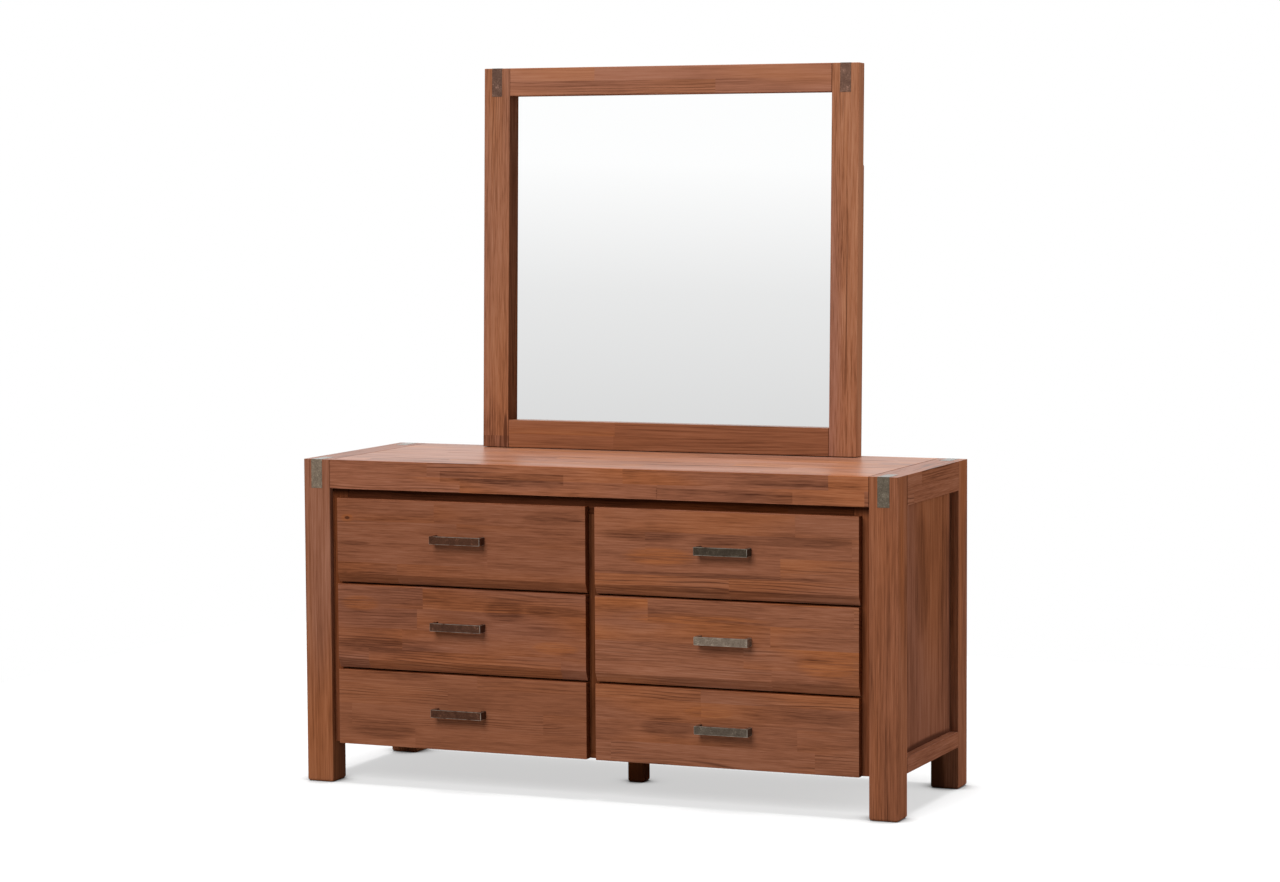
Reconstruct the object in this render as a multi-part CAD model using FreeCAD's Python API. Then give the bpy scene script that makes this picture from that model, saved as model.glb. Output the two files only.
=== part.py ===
import FreeCAD, Part
import math
import os
from FreeCAD import Vector

# Six-drawer dresser with a leaning framed mirror. Millimetres, +Z up, front towards -Y.
# X is measured from the centre plane, Z from the floor. While the pieces are drawn, Y is
# measured from the fronts of the legs towards the back. They are moved at the end, so that
# the origin lies on the floor at the middle of the whole footprint.

# Case
WIDTH = 1550.0
DEPTH = 531.0
HEIGHT = 806.0
LEG_WIDTH = 71.0
LEG_DEPTH = 69.0
LEG_EASE = 2.5            # radius of the legs' long arrises
FOOT_ROUND = 7.0          # radius round the bottom of every foot
EASE = 0.9                # radius of every other sanded arris
BAND_HEIGHT = 71.5        # fascia and end beams, flush with the top
FASCIA_THICKNESS = 28.0
TOP_THICKNESS = 24.0
CASE_FLOOR = 101.0        # underside of the case above the floor
SIDE_RAIL_BOTTOM = 104.5
SIDE_RAIL_HEIGHT = 38.0
PANEL_RECESS = 21.0       # side panel behind the leg's outer face
PANEL_THICKNESS = 12.0
PANEL_TONGUE = 8.0        # panel edge let into its grooves
BACK_THICKNESS = 5.0
BACK_LAP = 6.0            # back board let into the rear legs
REAR_RAIL_THICKNESS = 20.0
REAR_MID_RAIL_BOTTOM = 470.0
REAR_MID_RAIL_HEIGHT = 60.0
REAR_BOTTOM_RAIL_HEIGHT = 50.0

# Face frame behind the drawer fronts
REVEAL = 22.5             # shadow gap between the drawer fronts and the legs
TOP_REVEAL = 22.0         # shadow gap between the drawer fronts and the fascia
CENTRE_GAP = 24.0         # between the two columns of drawers
FRAME_THICKNESS = 20.0
FRAME_COVER = 20.0        # how far a drawer front laps over the face frame
BOTTOM_RAIL_HEIGHT = 20.0
BOTTOM_RAIL_DEPTH = 45.0

# Inside of the case
PARTITION_THICKNESS = 18.0
BEARER_WIDTH = 70.0       # plank that carries the partition and the centre foot
CENTRE_FOOT_SIZE = 42.0
CENTRE_FOOT_BACK = 24.0   # behind the middle of the case's depth
RUNNER_BEARER_HEIGHT = 60.0

# Drawers
ROWS = ("top", "middle", "bottom")
SIDES = {"left": -1, "right": 1}
DRAWER_GAP = 4.0          # between two drawer fronts
FRONT_THICKNESS = 22.0
FRONT_PROUD = 5.0         # drawer fronts stand before the legs
BEVEL_HEIGHT = 23.2       # sloped foot of every front but the lowest
BEVEL_DEPTH = 11.0
BOX_WALL = 12.0
BOX_BOTTOM_THICKNESS = 5.0
BOX_BOTTOM_LIFT = 10.0    # drawer bottom above the lower edge of the sides
BOX_GROOVE = 6.0
BOX_LIFT = 30.0           # box above the lower edge of its front
BOX_DROP = 25.0           # box below the upper edge of its front
BOX_REAR_GAP = 34.0       # behind the box, so that it takes runners of a usual length

# Runners: two nested steel channels beside each drawer
RUNNER_SPACE = 13.0       # between the box and the runner bearer
RUNNER_STEEL = 1.5
RUNNER_HEIGHT = 38.0
RUNNER_REACH = 9.0        # how far the case channel stands out
RUNNER_CLEARANCE = 0.5
RUNNER_SETBACK = 5.0      # runner ends inside the ends of the box
RUNNER_CENTRE = 45.0      # above the lower edge of the box

# Bumpers between the drawer fronts and the face frame
BUMPER_RADIUS = 4.0
BUMPER_THICKNESS = 1.7
BUMPER_CLEARANCE = 0.3
BUMPER_DROP = 14.0

# Bar pulls
PULL_LENGTH = 136.0
PULL_HEIGHT = 20.0
PULL_PROJECTION = 31.0
PULL_BAR = 6.0
PULL_LEG = 9.0
PULL_EASE = 1.5
PULL_SCREW_RADIUS = 2.0
PULL_SCREW_HEAD_RADIUS = 4.0
PULL_SCREW_BITE = 12.0
SCREW_FIT = 0.15          # radial room round a screw

# Corner straps let into the legs and the mirror frame
STRAP_WIDTH = 30.0
STRAP_THICKNESS = 2.0
STRAP_PROUD = 0.3
STRAP_FIT = 0.4
STRAP_EASE = 0.5

# Mirror
MIRROR_WIDTH = 1014.0
MIRROR_HEIGHT = 967.5
MIRROR_DEPTH = 38.0
MIRROR_LEAN = 1.7         # degrees back from upright
MIRROR_LIFT = 0.5         # clear of the top
MIRROR_SET_IN = 22.0      # mirror's back lower edge before the rear of the case
MIRROR_STILE = 71.0
MIRROR_RAIL = 70.0
MIRROR_EASE = 1.5
MIRROR_STRAP_WIDTH = 28.5
MIRROR_STRAP_DROP = 72.0  # how far the strap reaches down the front of the stile
GLASS_RECESS = 27.5
GLASS_THICKNESS = 4.0
GLASS_REBATE = 8.0
GLASS_FIT = 0.5
MIRROR_BACK_THICKNESS = 5.0

# Supports that join the mirror to the case
SUPPORT_WIDTH = 56.0
SUPPORT_THICKNESS = 42.0
SUPPORT_INSET = 13.5      # from the mirror's outer edge
SUPPORT_RISE = 722.0      # above the mirror's foot
SUPPORT_CHAMFER = 6.0
SCREW_RADIUS = 2.5
SCREW_HEAD_RADIUS = 5.0
SCREW_HEAD_HEIGHT = 2.5
SCREW_BITE = 14.0         # thread in the piece behind the support
MIRROR_SCREW_HEIGHTS = (110.0, 360.0, 610.0)

# Sizes that follow
HALF_WIDTH = WIDTH / 2
LEG_INNER = HALF_WIDTH - LEG_WIDTH
REAR_LEG_FRONT = DEPTH - LEG_DEPTH
BAND_BOTTOM = HEIGHT - BAND_HEIGHT
TOP_UNDERSIDE = HEIGHT - TOP_THICKNESS
BACK_FRONT = DEPTH - BACK_THICKNESS
REAR_RAIL_FRONT = BACK_FRONT - REAR_RAIL_THICKNESS
REAR_MID_RAIL_TOP = REAR_MID_RAIL_BOTTOM + REAR_MID_RAIL_HEIGHT
FRONT_FACE = -FRONT_PROUD
FRONT_BACK = FRONT_THICKNESS - FRONT_PROUD
FRAME_FRONT = FRONT_BACK + BUMPER_THICKNESS + BUMPER_CLEARANCE
FRAME_BACK = FRAME_FRONT + FRAME_THICKNESS
OPENING_OUTER = LEG_INNER - REVEAL - FRAME_COVER
OPENING_INNER = CENTRE_GAP / 2 + FRAME_COVER
FRONT_OUTER = LEG_INNER - REVEAL
FRONT_INNER = CENTRE_GAP / 2
FRONTS_TOP = BAND_BOTTOM - TOP_REVEAL
ROW_COUNT = len(ROWS)
FLAT_HEIGHT = (
    FRONTS_TOP - CASE_FLOOR - (ROW_COUNT - 1) * (DRAWER_GAP + BEVEL_HEIGHT)
) / ROW_COUNT
COLUMN_MIDDLE = (FRONT_OUTER + FRONT_INNER) / 2
BOX_OUTER = OPENING_OUTER - RUNNER_SPACE
BOX_INNER = OPENING_INNER + RUNNER_SPACE
BOX_BACK = REAR_RAIL_FRONT - BOX_REAR_GAP
PARTITION_HALF = PARTITION_THICKNESS / 2
MIRROR_HALF = MIRROR_WIDTH / 2
MIRROR_INNER = MIRROR_HALF - MIRROR_STILE
LEAN = math.radians(MIRROR_LEAN)
MIRROR_BACK_EDGE = DEPTH - MIRROR_SET_IN
MIRROR_FOOT = HEIGHT + MIRROR_LIFT
SUPPORT_OUTER = MIRROR_HALF - SUPPORT_INSET
SUPPORT_MIDDLE = SUPPORT_OUTER - SUPPORT_WIDTH / 2


def footprint_shift():
    """Y that puts the origin midway between the pulls and the top of the supports."""
    front = FRONT_FACE - PULL_PROJECTION
    back = support_point(SUPPORT_RISE - SUPPORT_CHAMFER, SUPPORT_THICKNESS).y
    return -(front + back) / 2


# Shapes used by several pieces

def block(x0, x1, y0, y1, z0, z1):
    """Box between two opposite corners."""
    corner = Vector(min(x0, x1), min(y0, y1), min(z0, z1))
    return Part.makeBox(abs(x1 - x0), abs(y1 - y0), abs(z1 - z0), corner)


def eased(shape, radius=EASE):
    """Round every arris of a plain piece."""
    return shape.makeFillet(radius, shape.Edges)


def upright_edges(shape):
    return [
        edge for edge in shape.Edges
        if edge.BoundBox.ZLength > edge.BoundBox.DiagonalLength / 2
    ]


def mirrored(shape):
    """The same piece on the other side of the centre plane."""
    return shape.mirror(Vector(0, 0, 0), Vector(1, 0, 0))


def on_side(shape, side):
    """Pieces are drawn on the right and mirrored for the left."""
    return shape if side > 0 else mirrored(shape)


def rod(start, direction, length, radius):
    return Part.makeCylinder(radius, length, start, direction)


def profile_along_x(points, x0, x1):
    """Extrude a closed outline of (y, z) points from x0 to x1."""
    outline = [Vector(x0, y, z) for y, z in points]
    face = Part.Face(Part.makePolygon(outline + outline[:1]))
    return face.extrude(Vector(x1 - x0, 0, 0))


# Legs and top band

def strap(x_middle, width, depth, height):
    """L-shaped strap over a corner: down the front by height, back over the top by depth."""
    half = width / 2 - STRAP_FIT
    outline = [
        (-STRAP_PROUD, -height + STRAP_FIT),
        (-STRAP_PROUD, STRAP_PROUD),
        (depth - STRAP_FIT, STRAP_PROUD),
        (depth - STRAP_FIT, -STRAP_THICKNESS),
        (STRAP_THICKNESS, -STRAP_THICKNESS),
        (STRAP_THICKNESS, -height + STRAP_FIT),
    ]
    plate = profile_along_x(outline, x_middle - half, x_middle + half)
    corner = [
        edge for edge in plate.Edges
        if edge.BoundBox.YMax < 0 and edge.BoundBox.ZMin > 0
    ]
    return plate.makeFillet(STRAP_EASE, corner)


def strap_recess(x_middle, width, depth, height):
    """Room that a strap is let into."""
    x0 = x_middle - width / 2
    x1 = x_middle + width / 2
    down = block(x0, x1, -STRAP_THICKNESS, STRAP_THICKNESS, -height, STRAP_THICKNESS)
    over = block(x0, x1, -STRAP_THICKNESS, depth, -STRAP_THICKNESS, STRAP_THICKNESS)
    return down.fuse(over)


def at_case_top(shape):
    return shape.translated(Vector(0, 0, HEIGHT))


def front_to_rear(shape):
    """Turn a piece of the front leg into the matching one of the rear leg."""
    return shape.mirror(Vector(0, DEPTH / 2, 0), Vector(0, 1, 0))


def leg_strap():
    middle = HALF_WIDTH - LEG_WIDTH / 2
    return at_case_top(strap(middle, STRAP_WIDTH, LEG_DEPTH, BAND_HEIGHT))


def post(x0, x1, y0, y1, top):
    """Square post that stands on the floor, with eased arrises and a rounded lower end."""
    shape = block(x0, x1, y0, y1, 0, top)
    shape = shape.makeFillet(LEG_EASE, upright_edges(shape))
    floor_edges = [edge for edge in shape.Edges if edge.BoundBox.ZMax < EASE]
    return shape.makeFillet(FOOT_ROUND, floor_edges)


def plain_leg():
    """Front right leg with the strap's recess cut."""
    leg = post(LEG_INNER, HALF_WIDTH, 0, LEG_DEPTH, HEIGHT)
    middle = HALF_WIDTH - LEG_WIDTH / 2
    return leg.cut(at_case_top(strap_recess(middle, STRAP_WIDTH, LEG_DEPTH, BAND_HEIGHT)))


def leg(side, rear):
    shape = plain_leg()
    if rear:
        shape = front_to_rear(shape).cut(back_board())
    return on_side(shape.cut(side_panel_right()), side)


def end_beam(side):
    """Beam between the front and rear legs, flush with the top."""
    beam = block(LEG_INNER, HALF_WIDTH, LEG_DEPTH, REAR_LEG_FRONT, BAND_BOTTOM, HEIGHT)
    return on_side(eased(beam).cut(side_panel_right()), side)


def front_fascia():
    return eased(block(-LEG_INNER, LEG_INNER, 0, FASCIA_THICKNESS, BAND_BOTTOM, HEIGHT))


def top_panel():
    return eased(block(-LEG_INNER, LEG_INNER, FASCIA_THICKNESS, DEPTH, TOP_UNDERSIDE, HEIGHT))


# Sides and back

def side_panel_right():
    outer = HALF_WIDTH - PANEL_RECESS
    rail_top = SIDE_RAIL_BOTTOM + SIDE_RAIL_HEIGHT
    return block(
        outer - PANEL_THICKNESS, outer,
        LEG_DEPTH - PANEL_TONGUE, REAR_LEG_FRONT + PANEL_TONGUE,
        rail_top - PANEL_TONGUE, BAND_BOTTOM + PANEL_TONGUE,
    )


def side_rail(side):
    inner = HALF_WIDTH - PANEL_RECESS - PANEL_THICKNESS
    top = SIDE_RAIL_BOTTOM + SIDE_RAIL_HEIGHT
    rail = block(inner, HALF_WIDTH, LEG_DEPTH, REAR_LEG_FRONT, SIDE_RAIL_BOTTOM, top)
    return on_side(eased(rail).cut(side_panel_right()), side)


def back_board():
    edge = LEG_INNER + BACK_LAP
    return block(-edge, edge, BACK_FRONT, DEPTH, CASE_FLOOR, TOP_UNDERSIDE)


def rear_rails():
    """Top, middle and bottom rails that the back board is nailed to."""
    levels = (
        (BAND_BOTTOM, TOP_UNDERSIDE),
        (REAR_MID_RAIL_BOTTOM, REAR_MID_RAIL_TOP),
        (CASE_FLOOR, CASE_FLOOR + REAR_BOTTOM_RAIL_HEIGHT),
    )
    return [block(-LEG_INNER, LEG_INNER, REAR_RAIL_FRONT, BACK_FRONT, z0, z1) for z0, z1 in levels]


# Face frame

def face_stile(side):
    stile = block(OPENING_OUTER, LEG_INNER, FRAME_FRONT, FRAME_BACK, CASE_FLOOR, BAND_BOTTOM)
    return on_side(stile, side)


def face_mullion():
    bottom = CASE_FLOOR + BOTTOM_RAIL_HEIGHT
    top = FRONTS_TOP - FRAME_COVER
    return block(-OPENING_INNER, OPENING_INNER, FRAME_FRONT, FRAME_BACK, bottom, top)


def face_top_rail():
    bottom = FRONTS_TOP - FRAME_COVER
    return block(-OPENING_OUTER, OPENING_OUTER, FRAME_FRONT, FRAME_BACK, bottom, BAND_BOTTOM)


def face_bottom_rail():
    back = FRAME_FRONT + BOTTOM_RAIL_DEPTH
    top = CASE_FLOOR + BOTTOM_RAIL_HEIGHT
    return block(-OPENING_OUTER, OPENING_OUTER, FRAME_FRONT, back, CASE_FLOOR, top)


# Inside of the case

def centre_partition():
    bottom = CASE_FLOOR + BOTTOM_RAIL_HEIGHT
    return block(-PARTITION_HALF, PARTITION_HALF, FRAME_BACK, REAR_RAIL_FRONT, bottom, TOP_UNDERSIDE)


def centre_bearer():
    front = FRAME_FRONT + BOTTOM_RAIL_DEPTH
    top = CASE_FLOOR + BOTTOM_RAIL_HEIGHT
    half = BEARER_WIDTH / 2
    return block(-half, half, front, REAR_RAIL_FRONT, CASE_FLOOR, top)


def centre_foot():
    half = CENTRE_FOOT_SIZE / 2
    middle = DEPTH / 2 + CENTRE_FOOT_BACK
    return post(-half, half, middle - half, middle + half, CASE_FLOOR)


def runner_bearers():
    """Battens that the case runners are screwed to, on the legs and on the partition."""
    battens = []
    for row in range(ROW_COUNT):
        middle = runner_height(row)
        low = middle - RUNNER_BEARER_HEIGHT / 2
        high = middle + RUNNER_BEARER_HEIGHT / 2
        for x0, x1 in ((OPENING_OUTER, LEG_INNER), (PARTITION_HALF, OPENING_INNER)):
            batten = block(x0, x1, FRAME_BACK, REAR_RAIL_FRONT, low, high)
            battens += [batten, mirrored(batten)]
    return battens


# Drawer heights, counted from the top row

def front_bottom(row):
    if row == ROW_COUNT - 1:
        return CASE_FLOOR
    return flat_bottom(row) - BEVEL_HEIGHT


def front_top(row):
    return FRONTS_TOP - row * (FLAT_HEIGHT + BEVEL_HEIGHT + DRAWER_GAP)


def flat_bottom(row):
    """Lower end of the flat face, where the bevel starts."""
    return front_top(row) - FLAT_HEIGHT


def pull_height(row):
    return front_top(row) - FLAT_HEIGHT / 2


def box_bottom(row):
    return front_bottom(row) + BOX_LIFT


def box_top(row):
    return front_top(row) - BOX_DROP


def runner_height(row):
    return box_bottom(row) + RUNNER_CENTRE


# Runners

def channel(x_web, x_lip, height, z_middle):
    """Steel channel along Y, its web at x_web and its lips reaching to x_lip."""
    out = 1 if x_lip > x_web else -1
    half = height / 2
    y0 = FRONT_BACK + RUNNER_SETBACK
    y1 = BOX_BACK - RUNNER_SETBACK
    outside = block(x_web, x_lip, y0, y1, z_middle - half, z_middle + half)
    inside = block(
        x_web + out * RUNNER_STEEL, x_lip, y0, y1,
        z_middle - half + RUNNER_STEEL, z_middle + half - RUNNER_STEEL,
    )
    return outside.cut(inside)


def case_runner(x_face, out, row):
    return channel(x_face, x_face + out * RUNNER_REACH, RUNNER_HEIGHT, runner_height(row))


def drawer_runner(x_face, out, row):
    """Channel on the box, nested between the lips of the case channel."""
    height = RUNNER_HEIGHT - 2 * (RUNNER_STEEL + RUNNER_CLEARANCE)
    reach = RUNNER_SPACE - RUNNER_STEEL - RUNNER_CLEARANCE
    return channel(x_face, x_face + out * reach, height, runner_height(row))


def case_runners():
    runners = []
    for row in range(ROW_COUNT):
        for pair in (case_runner(OPENING_OUTER, -1, row), case_runner(OPENING_INNER, 1, row)):
            runners += [pair, mirrored(pair)]
    return runners


def drawer_runners(row, side):
    pair = (drawer_runner(BOX_OUTER, 1, row), drawer_runner(BOX_INNER, -1, row))
    return [on_side(runner, side) for runner in pair]


def bumpers():
    """Soft discs on the face frame behind the upper corners of each drawer front."""
    discs = []
    for row in range(ROW_COUNT):
        height = front_top(row) - BUMPER_DROP
        for x in (OPENING_OUTER + FRAME_COVER / 2, OPENING_INNER - FRAME_COVER / 2):
            start = Vector(x, FRAME_FRONT, height)
            disc = rod(start, Vector(0, -1, 0), BUMPER_THICKNESS, BUMPER_RADIUS)
            discs += [disc, mirrored(disc)]
    return discs


# Drawers

def pull_screws(row, clearance=0.0):
    """Two screws from inside the box through both fronts into the feet of the pull."""
    start = FRONT_BACK + BOX_WALL
    length = start - FRONT_FACE + PULL_SCREW_BITE
    half = (PULL_LENGTH - PULL_LEG) / 2
    screws = []
    for x in (COLUMN_MIDDLE - half, COLUMN_MIDDLE + half):
        place = Vector(x, start, pull_height(row))
        screws.append(rod(place, Vector(0, -1, 0), length, PULL_SCREW_RADIUS + clearance))
    return screws


def drilled(shape, screws):
    for screw in screws:
        shape = shape.cut(screw)
    return shape


def drawer_front(row, side):
    """Applied front; all rows but the lowest slope back along the lower edge."""
    top = front_top(row)
    bottom = front_bottom(row)
    outline = [(FRONT_FACE, top), (FRONT_BACK, top), (FRONT_BACK, bottom)]
    if bottom < flat_bottom(row):
        outline += [(FRONT_FACE + BEVEL_DEPTH, bottom), (FRONT_FACE, flat_bottom(row))]
    else:
        outline += [(FRONT_FACE, bottom)]
    front = eased(profile_along_x(outline, FRONT_INNER, FRONT_OUTER))
    return on_side(drilled(front, pull_screws(row, SCREW_FIT)), side)


def drawer_bottom(row):
    low = box_bottom(row) + BOX_BOTTOM_LIFT
    wall = BOX_WALL - BOX_GROOVE
    return block(
        BOX_INNER + wall, BOX_OUTER - wall, FRONT_BACK + wall, BOX_BACK - wall,
        low, low + BOX_BOTTOM_THICKNESS,
    )


def drawer_box(row, side):
    """Two sides, inner front, back and a bottom let into grooves."""
    low = box_bottom(row)
    high = box_top(row)
    floor = drawer_bottom(row)
    inner_edge = BOX_INNER + BOX_WALL
    outer_edge = BOX_OUTER - BOX_WALL
    walls = [
        block(BOX_INNER, inner_edge, FRONT_BACK, BOX_BACK, low, high),
        block(outer_edge, BOX_OUTER, FRONT_BACK, BOX_BACK, low, high),
        drilled(
            block(inner_edge, outer_edge, FRONT_BACK, FRONT_BACK + BOX_WALL, low, high),
            pull_screws(row, SCREW_FIT),
        ),
        block(inner_edge, outer_edge, BOX_BACK - BOX_WALL, BOX_BACK, low, high),
    ]
    return [on_side(wall.cut(floor), side) for wall in walls] + [on_side(floor, side)]


def pull_bridge(row):
    """Flat bar with a square foot at each end."""
    height = pull_height(row)
    half = PULL_LENGTH / 2
    front = FRONT_FACE - PULL_PROJECTION
    bar = block(
        COLUMN_MIDDLE - half, COLUMN_MIDDLE + half, front, FRONT_FACE,
        height - PULL_HEIGHT / 2, height + PULL_HEIGHT / 2,
    )
    bar = eased(bar, PULL_EASE)
    gap = block(
        COLUMN_MIDDLE - half + PULL_LEG, COLUMN_MIDDLE + half - PULL_LEG,
        front + PULL_BAR, FRONT_FACE + PULL_BAR,
        height - PULL_HEIGHT, height + PULL_HEIGHT,
    )
    return bar.cut(gap)


def drawer_pull(row, side):
    """Pull with its two screws, heads inside the box."""
    bridge = drilled(pull_bridge(row), pull_screws(row, SCREW_FIT))
    solids = [bridge]
    for screw in pull_screws(row):
        base = screw.BoundBox
        seat = Vector((base.XMin + base.XMax) / 2, base.YMax, pull_height(row))
        head = rod(seat, Vector(0, 1, 0), SCREW_HEAD_HEIGHT, PULL_SCREW_HEAD_RADIUS)
        solids.append(screw.fuse(head).removeSplitter())
    return [on_side(solid, side) for solid in solids]


# Mirror: drawn upright with its back lower edge at the origin, then leant back

def leant(shape):
    """Lean a piece of the mirror back and hold it just clear of the top."""
    turned = shape.rotated(Vector(0, 0, 0), Vector(1, 0, 0), -MIRROR_LEAN)
    return turned.translated(Vector(0, MIRROR_BACK_EDGE, MIRROR_FOOT))


def glass_plate(front, thickness, fit):
    """Plate in the frame's rebate, its front face at the given depth in the frame."""
    lap = GLASS_REBATE - fit
    y0 = front - MIRROR_DEPTH
    half = MIRROR_INNER + lap
    low = MIRROR_RAIL - lap
    high = MIRROR_HEIGHT - MIRROR_RAIL + lap
    return block(-half, half, y0, y0 + thickness, low, high)


def mirror_rebate():
    return glass_plate(GLASS_RECESS, MIRROR_DEPTH - GLASS_RECESS, 0.0)


def over_stile(make):
    """Draw a strap or its recess over the top of the right stile."""
    middle = MIRROR_HALF - MIRROR_STILE / 2
    piece = make(middle, MIRROR_STRAP_WIDTH, MIRROR_DEPTH, MIRROR_STRAP_DROP)
    return piece.translated(Vector(0, -MIRROR_DEPTH, MIRROR_HEIGHT))


def mirror_stile(side):
    stile = eased(block(MIRROR_INNER, MIRROR_HALF, -MIRROR_DEPTH, 0, 0, MIRROR_HEIGHT), MIRROR_EASE)
    stile = leant(stile.cut(mirror_rebate()).cut(over_stile(strap_recess)))
    return on_side(drilled(stile, support_screws(SCREW_FIT)), side)


def mirror_rail(low, high):
    rail = eased(block(-MIRROR_INNER, MIRROR_INNER, -MIRROR_DEPTH, 0, low, high), MIRROR_EASE)
    return leant(rail.cut(mirror_rebate()))


def mirror_glass():
    return leant(glass_plate(GLASS_RECESS, GLASS_THICKNESS, GLASS_FIT))


def mirror_back():
    front = GLASS_RECESS + GLASS_THICKNESS
    return leant(glass_plate(front, MIRROR_BACK_THICKNESS, GLASS_FIT))


# Supports

def support_point(rise, depth):
    """Point on the leaning line behind the mirror: rise up it, depth behind it."""
    y = MIRROR_BACK_EDGE + rise * math.sin(LEAN) + depth * math.cos(LEAN)
    z = MIRROR_FOOT + rise * math.cos(LEAN) - depth * math.sin(LEAN)
    return Vector(0, y, z)


def support_fall():
    """How far below the mirror the support ends, along its rear face."""
    return (MIRROR_FOOT - REAR_MID_RAIL_BOTTOM) / math.cos(LEAN)


def support(side):
    """Board behind the mirror stile, stepped to hook over the rear edge of the top."""
    low = REAR_MID_RAIL_BOTTOM
    rear_low = support_point(SUPPORT_CHAMFER - support_fall(), SUPPORT_THICKNESS)
    rear_high = support_point(SUPPORT_RISE - SUPPORT_CHAMFER, SUPPORT_THICKNESS)
    top_rear = support_point(SUPPORT_RISE, SUPPORT_THICKNESS - SUPPORT_CHAMFER)
    top_front = support_point(SUPPORT_RISE, 0)
    outline = [
        (DEPTH, low),
        (DEPTH, HEIGHT),
        (MIRROR_BACK_EDGE, HEIGHT),
        (MIRROR_BACK_EDGE, MIRROR_FOOT),
        (top_front.y, top_front.z),
        (top_rear.y, top_rear.z),
        (rear_high.y, rear_high.z),
        (rear_low.y, rear_low.z),
        ((DEPTH + rear_low.y) / 2, low),
    ]
    board = profile_along_x(outline, SUPPORT_OUTER - SUPPORT_WIDTH, SUPPORT_OUTER)
    return on_side(drilled(board, support_screws(SCREW_FIT)), side)


def case_screw_rises():
    """Rises, below the mirror, of the screws into the rear top and middle rails."""
    top_rail_middle = (BAND_BOTTOM + TOP_UNDERSIDE) / 2
    mid_rail_middle = (REAR_MID_RAIL_BOTTOM + REAR_MID_RAIL_TOP) / 2
    levels = (top_rail_middle, mid_rail_middle)
    return tuple((level - MIRROR_FOOT) / math.cos(LEAN) for level in levels)


def support_screw(rise, depth, clearance):
    """Screw square to the rear face of the support; depth is where its thread starts to bite."""
    start = support_point(rise, SUPPORT_THICKNESS)
    inward = Vector(0, -math.cos(LEAN), math.sin(LEAN))
    shank = rod(start, inward, depth + SCREW_BITE, SCREW_RADIUS + clearance)
    head = rod(start, inward * -1, SCREW_HEAD_HEIGHT, SCREW_HEAD_RADIUS)
    screw = shank.fuse(head).removeSplitter()
    return screw.translated(Vector(SUPPORT_MIDDLE, 0, 0))


def support_screws(clearance=0.0):
    """Screws of the right support into the mirror stile and into the case."""
    screws = [support_screw(rise, SUPPORT_THICKNESS, clearance) for rise in MIRROR_SCREW_HEIGHTS]
    behind_case = SUPPORT_THICKNESS - MIRROR_SET_IN
    for rise in case_screw_rises():
        depth = behind_case + rise * math.sin(LEAN) + BACK_THICKNESS
        screws.append(support_screw(rise, depth, clearance))
    return screws


def with_support_holes(shape):
    """Drill a piece of the case for the screws of both supports."""
    for side in SIDES.values():
        shape = drilled(shape, [on_side(screw, side) for screw in support_screws(SCREW_FIT)])
    return shape


# Nodes

def case_nodes():
    straps = [leg_strap(), front_to_rear(leg_strap())]
    nodes = {
        "top_panel": [top_panel()],
        "front_fascia": [front_fascia()],
        "back_board": [with_support_holes(back_board())],
        "rear_rails": [with_support_holes(rail) for rail in rear_rails()],
        "face_mullion": [face_mullion()],
        "face_top_rail": [face_top_rail()],
        "face_bottom_rail": [face_bottom_rail()],
        "centre_partition": [centre_partition()],
        "centre_bearer": [centre_bearer()],
        "centre_foot": [centre_foot()],
        "corner_straps": straps + [mirrored(piece) for piece in straps],
        "runner_bearers": runner_bearers(),
        "case_runners": case_runners(),
        "drawer_bumpers": bumpers(),
    }
    for name, side in SIDES.items():
        nodes["leg_front_" + name] = [leg(side, rear=False)]
        nodes["leg_rear_" + name] = [leg(side, rear=True)]
        nodes["end_beam_" + name] = [end_beam(side)]
        nodes["side_panel_" + name] = [on_side(side_panel_right(), side)]
        nodes["side_rail_" + name] = [side_rail(side)]
        nodes["face_stile_" + name] = [face_stile(side)]
    return nodes


def mirror_nodes():
    straps = [leant(over_stile(strap))]
    screws = support_screws()
    nodes = {
        "mirror_top_rail": [mirror_rail(MIRROR_HEIGHT - MIRROR_RAIL, MIRROR_HEIGHT)],
        "mirror_bottom_rail": [mirror_rail(0, MIRROR_RAIL)],
        "mirror_glass": [mirror_glass()],
        "mirror_back_board": [mirror_back()],
        "mirror_straps": straps + [mirrored(piece) for piece in straps],
        "support_screws": screws + [mirrored(screw) for screw in screws],
    }
    for name, side in SIDES.items():
        nodes["mirror_stile_" + name] = [mirror_stile(side)]
        nodes["mirror_support_" + name] = [support(side)]
    return nodes


def drawer_nodes():
    nodes = {}
    for column, side in SIDES.items():
        for row, level in enumerate(ROWS):
            name = "drawer_" + column + "_" + level
            nodes[name + "_front"] = [drawer_front(row, side)]
            nodes[name + "_box"] = drawer_box(row, side)
            nodes[name + "_pull"] = drawer_pull(row, side)
            nodes[name + "_runners"] = drawer_runners(row, side)
    return nodes


def export(nodes):
    """Write one STEP file per node, with the origin on the floor at the footprint's middle."""
    os.makedirs("parts", exist_ok=True)
    shift = Vector(0, footprint_shift(), 0)
    for name, solids in nodes.items():
        placed = [solid.translated(shift) for solid in solids]
        shape = placed[0] if len(placed) == 1 else Part.makeCompound(placed)
        shape.exportStep(os.path.join("parts", name + ".step"))


export({**case_nodes(), **mirror_nodes(), **drawer_nodes()})
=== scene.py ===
import math
from dataclasses import dataclass

import bmesh
import bpy
from bpy.props import FloatProperty, FloatVectorProperty, PointerProperty
from mathutils import Matrix, Vector


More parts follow.
